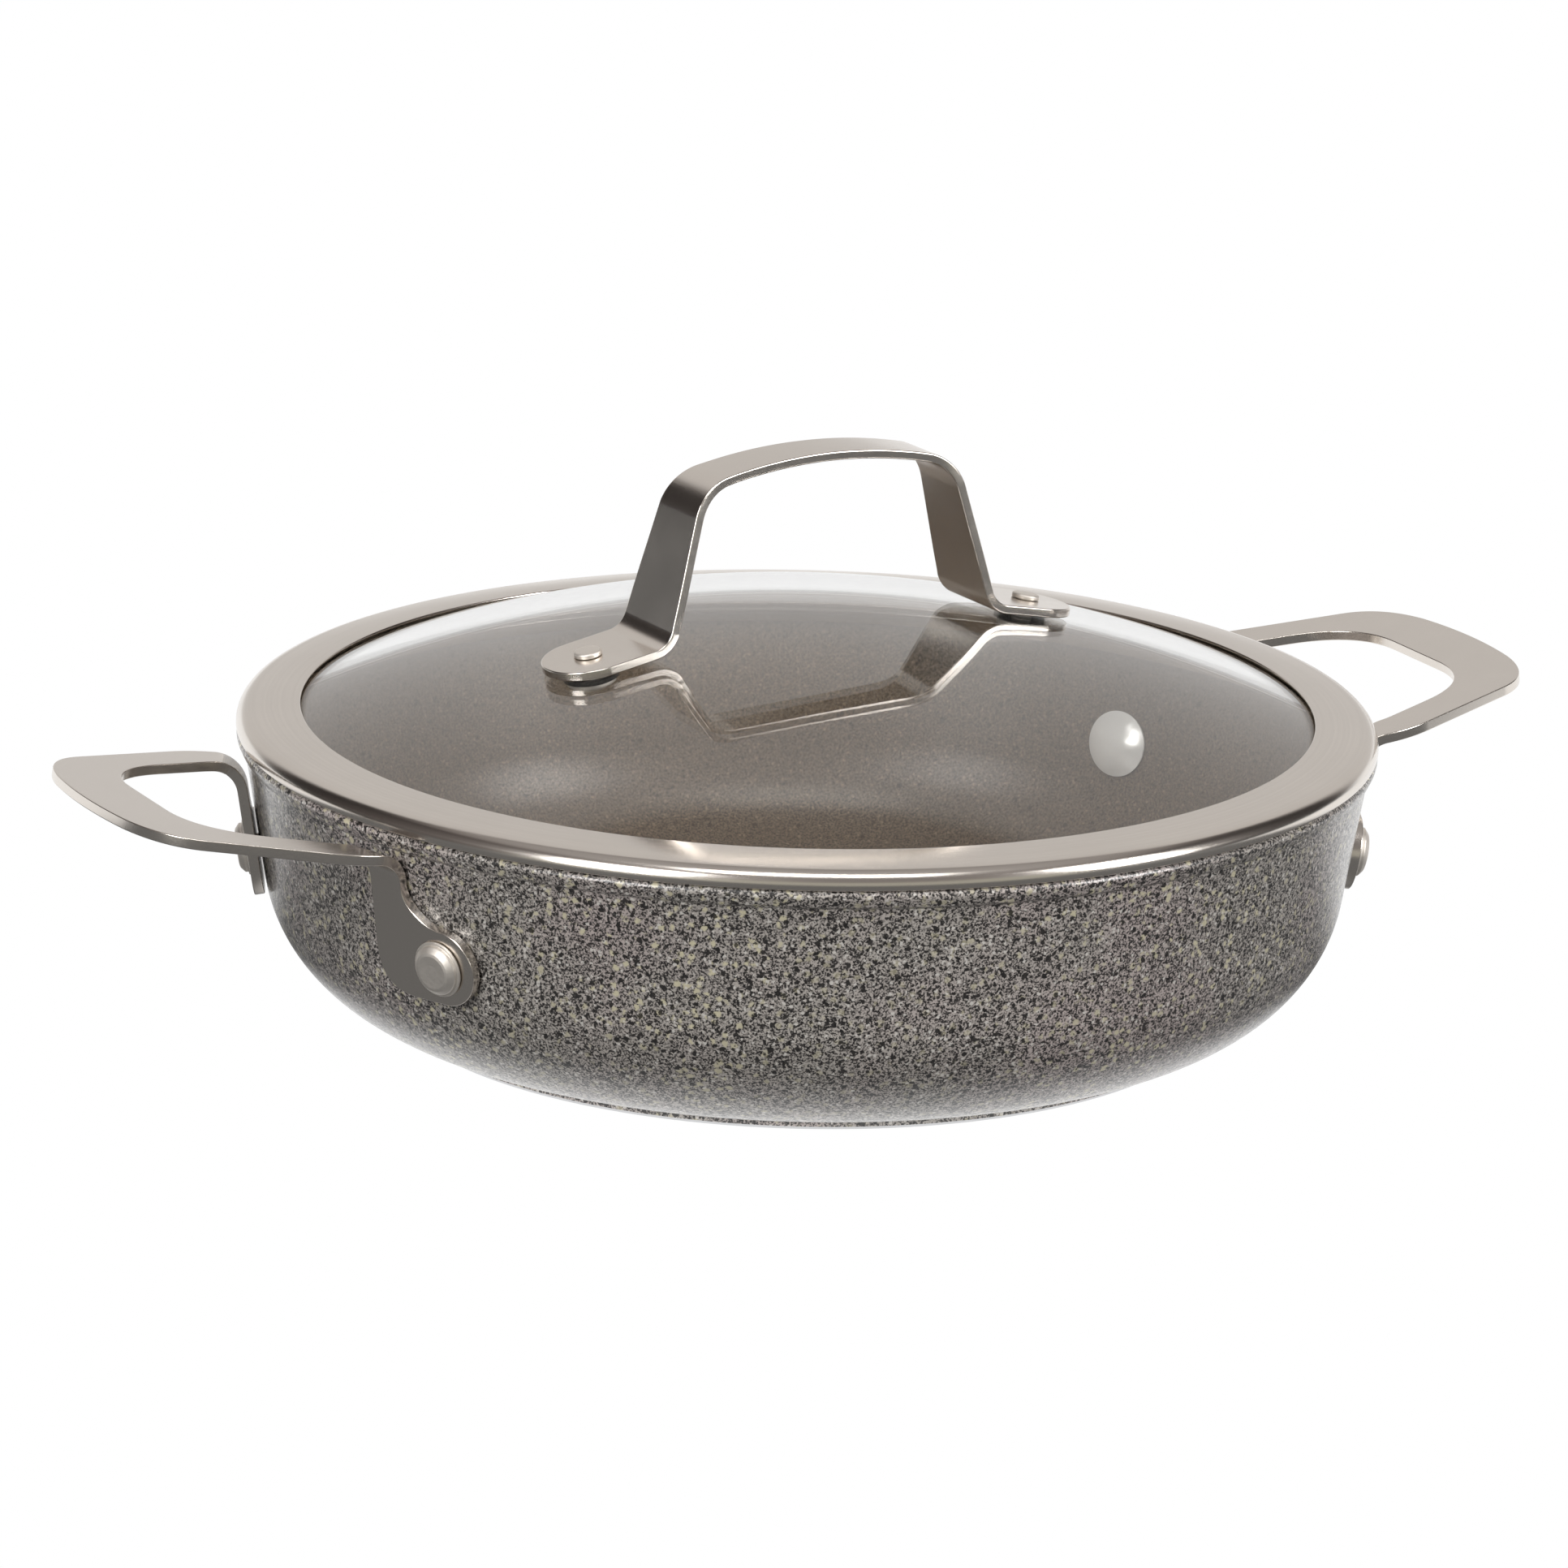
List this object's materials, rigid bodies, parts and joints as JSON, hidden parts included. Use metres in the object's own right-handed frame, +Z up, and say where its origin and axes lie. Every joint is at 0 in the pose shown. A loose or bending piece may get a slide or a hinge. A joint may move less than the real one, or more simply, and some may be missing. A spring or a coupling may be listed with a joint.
{
  "type": "lidded serving pan",
  "caption": "Low round pan with riveted loop side handles and a lift-off domed glass lid in a steel band with a strap handle.",
  "frame": {"origin": "on the pan's axis, in the plane that the base stands on", "axes": "+Z up along the pan's axis, +X along the line through both side handles"},
  "size_m": [0.39, 0.2846, 0.143],
  "materials": {
    "speckled_coating": "stone-speckled nonstick coating over aluminium, bare turned base",
    "satin_steel": "satin with polished edges",
    "rivet_steel": "satin",
    "clear_glass": "clear tempered glass",
    "dark_silicone": "matt silicone"
  },
  "bodies": {
    "pan": {"pan_body": "speckled_coating", "side_handle_left": "satin_steel", "side_handle_right": "satin_steel", "rivet_left_front": "rivet_steel", "rivet_left_back": "rivet_steel", "rivet_right_front": "rivet_steel", "rivet_right_back": "rivet_steel"},
    "lid": {"lid_rim_band": "satin_steel", "lid_glass": "clear_glass", "lid_handle": "satin_steel", "lid_rivet_left": "rivet_steel", "lid_rivet_right": "rivet_steel", "lid_gasket_left": "dark_silicone", "lid_gasket_right": "dark_silicone", "lid_seal_left": "dark_silicone", "lid_seal_right": "dark_silicone", "lid_washer_left": "rivet_steel", "lid_washer_right": "rivet_steel"}
  },
  "joints": [
    {"name": "lid_lift", "type": "slide", "parent": "pan", "child": "lid", "axis": [0, 0, 1], "range_m": [0, 0.12]}
  ]
}
